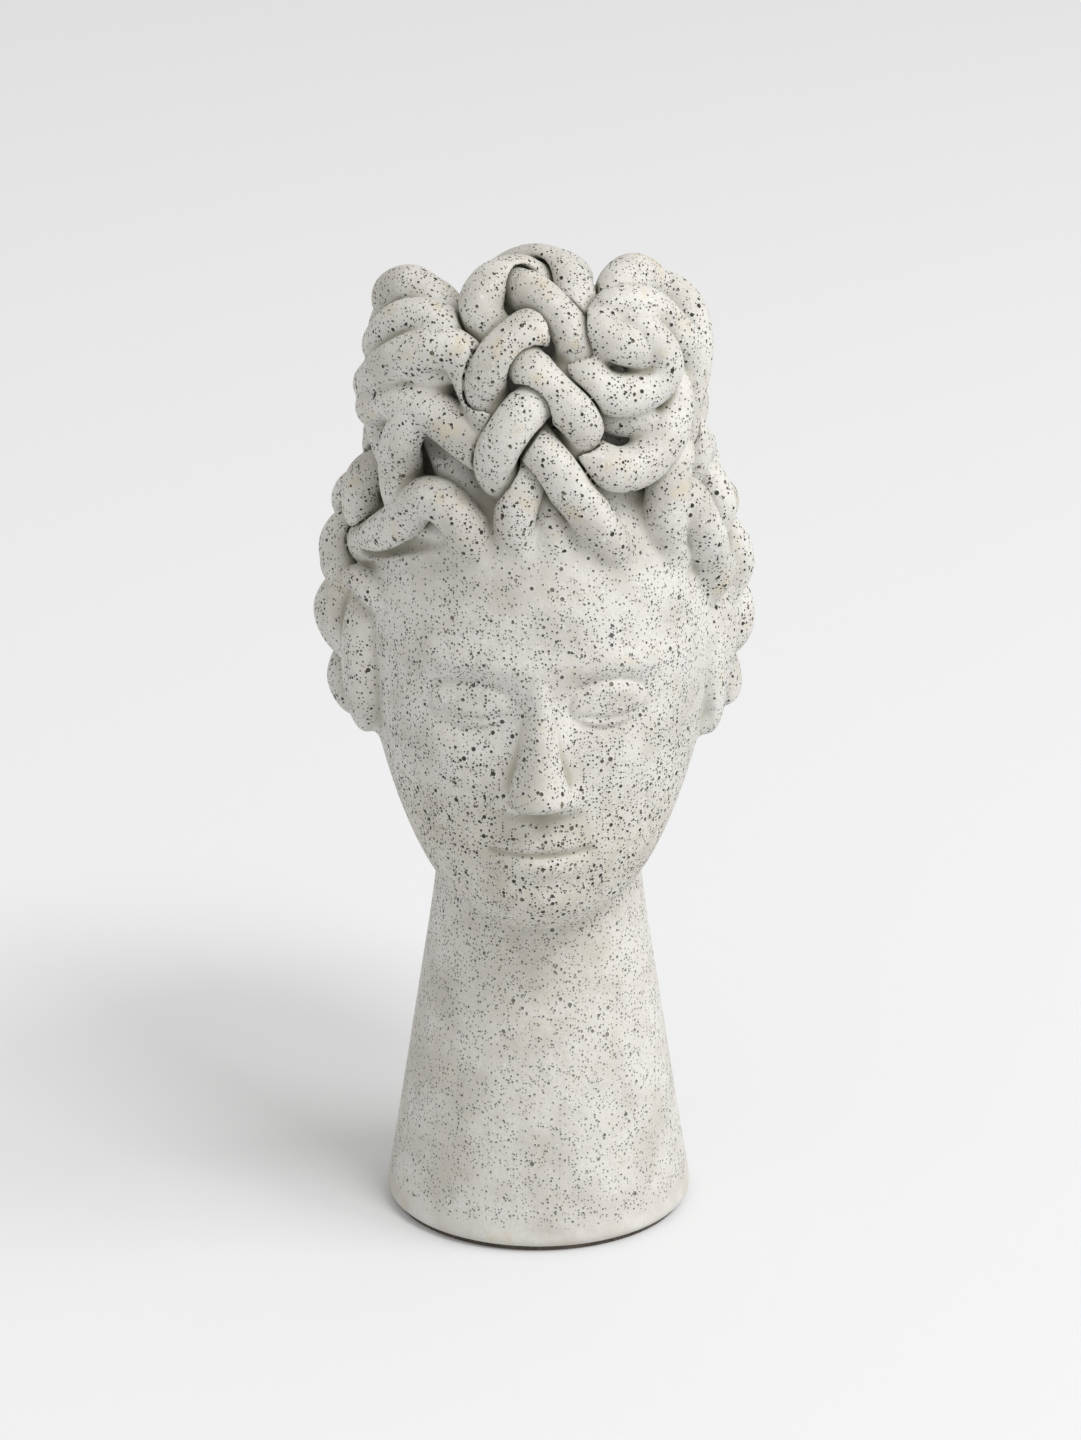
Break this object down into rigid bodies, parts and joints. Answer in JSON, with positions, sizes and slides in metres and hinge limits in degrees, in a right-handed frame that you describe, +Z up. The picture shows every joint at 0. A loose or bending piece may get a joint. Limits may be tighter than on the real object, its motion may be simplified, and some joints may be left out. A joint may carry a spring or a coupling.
{
  "type": "ceramic head figurine",
  "caption": "Hand-built ceramic head on a flared hollow neck, with braided and knotted clay-coil hair, a plain calm face and thick pitted white glaze.",
  "frame": {"origin": "centre of the foot ring's resting face", "axes": "+Z up along the neck, -Y the way the face looks, +X the head's own left side (the viewer's right)"},
  "size_m": [0.1627, 0.1626, 0.3758],
  "materials": {
    "glazed_body": "thick satin white crater glaze with dark pinholes over a dark clay body",
    "glazed_coil": "the same crater glaze, thinner and warmer on the tops of the coils",
    "bare_clay": "unglazed dark stoneware, dry and slightly gritty"
  },
  "bodies": {
    "root": {"foot_ring": "bare_clay", "neck": "glazed_body", "head": "glazed_body", "left_ear": "glazed_body", "right_ear": "glazed_body", "centre_braid_1": "glazed_coil", "centre_braid_2": "glazed_coil", "centre_braid_3": "glazed_coil", "left_back_plait_1": "glazed_coil", "left_back_plait_2": "glazed_coil", "left_back_plait_3": "glazed_coil", "left_hairline_coil": "glazed_coil", "left_knot_back": "glazed_coil", "left_knot_front": "glazed_coil", "left_knot_outer": "glazed_coil", "left_knot_root": "glazed_coil", "left_knot_sweep": "glazed_coil", "left_knot_top": "glazed_coil", "left_knot_upper": "glazed_coil", "left_nape_plait_1": "glazed_coil", "left_nape_plait_2": "glazed_coil", "left_nape_plait_3": "glazed_coil", "left_side_plait_1": "glazed_coil", "left_side_plait_2": "glazed_coil", "left_side_plait_3": "glazed_coil", "left_valley_coil": "glazed_coil", "right_back_plait_1": "glazed_coil", "right_back_plait_2": "glazed_coil", "right_back_plait_3": "glazed_coil", "right_hairline_coil": "glazed_coil", "right_knot_back": "glazed_coil", "right_knot_front": "glazed_coil", "right_knot_heart": "glazed_coil", "right_knot_outer": "glazed_coil", "right_knot_ring": "glazed_coil", "right_knot_sweep": "glazed_coil", "right_knot_top": "glazed_coil", "right_nape_plait_1": "glazed_coil", "right_nape_plait_2": "glazed_coil", "right_nape_plait_3": "glazed_coil", "right_side_plait_1": "glazed_coil", "right_side_plait_2": "glazed_coil", "right_side_plait_3": "glazed_coil", "right_temple_coil": "glazed_coil"}
  },
  "joints": []
}
